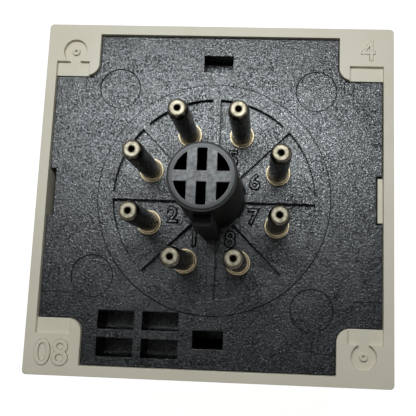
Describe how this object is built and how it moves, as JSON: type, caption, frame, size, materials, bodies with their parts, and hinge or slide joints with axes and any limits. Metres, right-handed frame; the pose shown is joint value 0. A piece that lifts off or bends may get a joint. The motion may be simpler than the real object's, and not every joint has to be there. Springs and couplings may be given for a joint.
{
  "type": "plug-in timer relay",
  "caption": "Square panel-mount timer relay with a dial front and an octal plug base: hollow pins round a keyed central post.",
  "frame": {"origin": "centre of the front bezel's rim, the face that the part stands on", "axes": "+Z along the body from the front rim to the octal pins, -Y towards the post's key, +X to the right as seen on the pins with the key downwards"},
  "size_m": [0.048, 0.048, 0.0666],
  "materials": {
    "case_plastic": "ivory moulded plastic, satin",
    "base_plastic": "black moulded plastic, spark-eroded texture",
    "pin_metal": "nickel plated, turned",
    "tinned_wire": "tinned copper wire",
    "panel_plastic": "dark grey moulded plastic",
    "dial_plastic": "grey moulded plastic",
    "shaft_plastic": "natural moulded plastic",
    "selector_plastic": "off-white moulded plastic",
    "switch_plastic": "black moulded plastic",
    "green_lens": "clear tinted plastic, polished",
    "orange_lens": "clear tinted plastic, polished",
    "green_led": "tinted resin",
    "orange_led": "tinted resin",
    "board_laminate": "glass laminate with green lacquer",
    "relay_plastic": "black moulded cover",
    "part_blue": "blue moulded plastic",
    "chip_resin": "black moulding resin",
    "film_yellow": "yellow box, satin",
    "film_red": "red box, satin",
    "ferrite": "sintered ferrite",
    "bobbin_plastic": "natural moulded plastic",
    "copper_wire": "enamelled copper wire",
    "cap_sleeve": "shrunk sleeve",
    "disc_coating": "dipped coating",
    "resistor_coating": "dipped coating"
  },
  "bodies": {
    "housing": {"case": "case_plastic", "plug_base": "base_plastic", "pin_1": "pin_metal", "pin_2": "pin_metal", "pin_3": "pin_metal", "pin_4": "pin_metal", "pin_5": "pin_metal", "pin_6": "pin_metal", "pin_7": "pin_metal", "pin_8": "pin_metal", "lead_wires": "tinned_wire", "front_panel": "panel_plastic", "dial_potentiometer": "part_blue", "mode_switch": "switch_plastic", "range_switch": "switch_plastic", "unit_switch": "switch_plastic", "power_lens": "green_lens", "output_lens": "orange_lens", "power_led": "green_led", "output_led": "orange_led", "front_board": "board_laminate", "power_board": "board_laminate", "control_board": "board_laminate", "output_relay": "relay_plastic", "timer_chip": "chip_resin", "timing_capacitor": "film_yellow", "trim_potentiometer": "part_blue", "driver_transistor": "chip_resin", "transformer_core": "ferrite", "transformer_bobbin": "bobbin_plastic", "transformer_winding": "copper_wire", "main_capacitor": "cap_sleeve", "smoothing_capacitor": "cap_sleeve", "film_capacitor": "film_red", "surge_suppressor": "disc_coating", "bridge_rectifier": "chip_resin", "dropper_resistor": "resistor_coating"},
    "dial": {"time_dial": "dial_plastic", "dial_shaft": "shaft_plastic"},
    "mode_rotor": {"mode_selector": "selector_plastic"},
    "range_rotor": {"range_selector": "selector_plastic"},
    "unit_rotor": {"unit_selector": "selector_plastic"}
  },
  "joints": [
    {"name": "dial_turn", "type": "hinge", "parent": "housing", "child": "dial", "pos_m": [0, 0, 0.0016], "axis": [0, 0, -1], "range_deg": [0, 300]},
    {"name": "mode_turn", "type": "hinge", "parent": "housing", "child": "mode_rotor", "pos_m": [0.0164, 0.0164, 0.0044], "axis": [0, 0, -1], "range_deg": [0, 135]},
    {"name": "range_turn", "type": "hinge", "parent": "housing", "child": "range_rotor", "pos_m": [-0.0164, -0.0164, 0.0044], "axis": [0, 0, -1], "range_deg": [0, 135]},
    {"name": "unit_turn", "type": "hinge", "parent": "housing", "child": "unit_rotor", "pos_m": [0.0164, -0.0164, 0.0044], "axis": [0, 0, -1], "range_deg": [0, 135]}
  ]
}
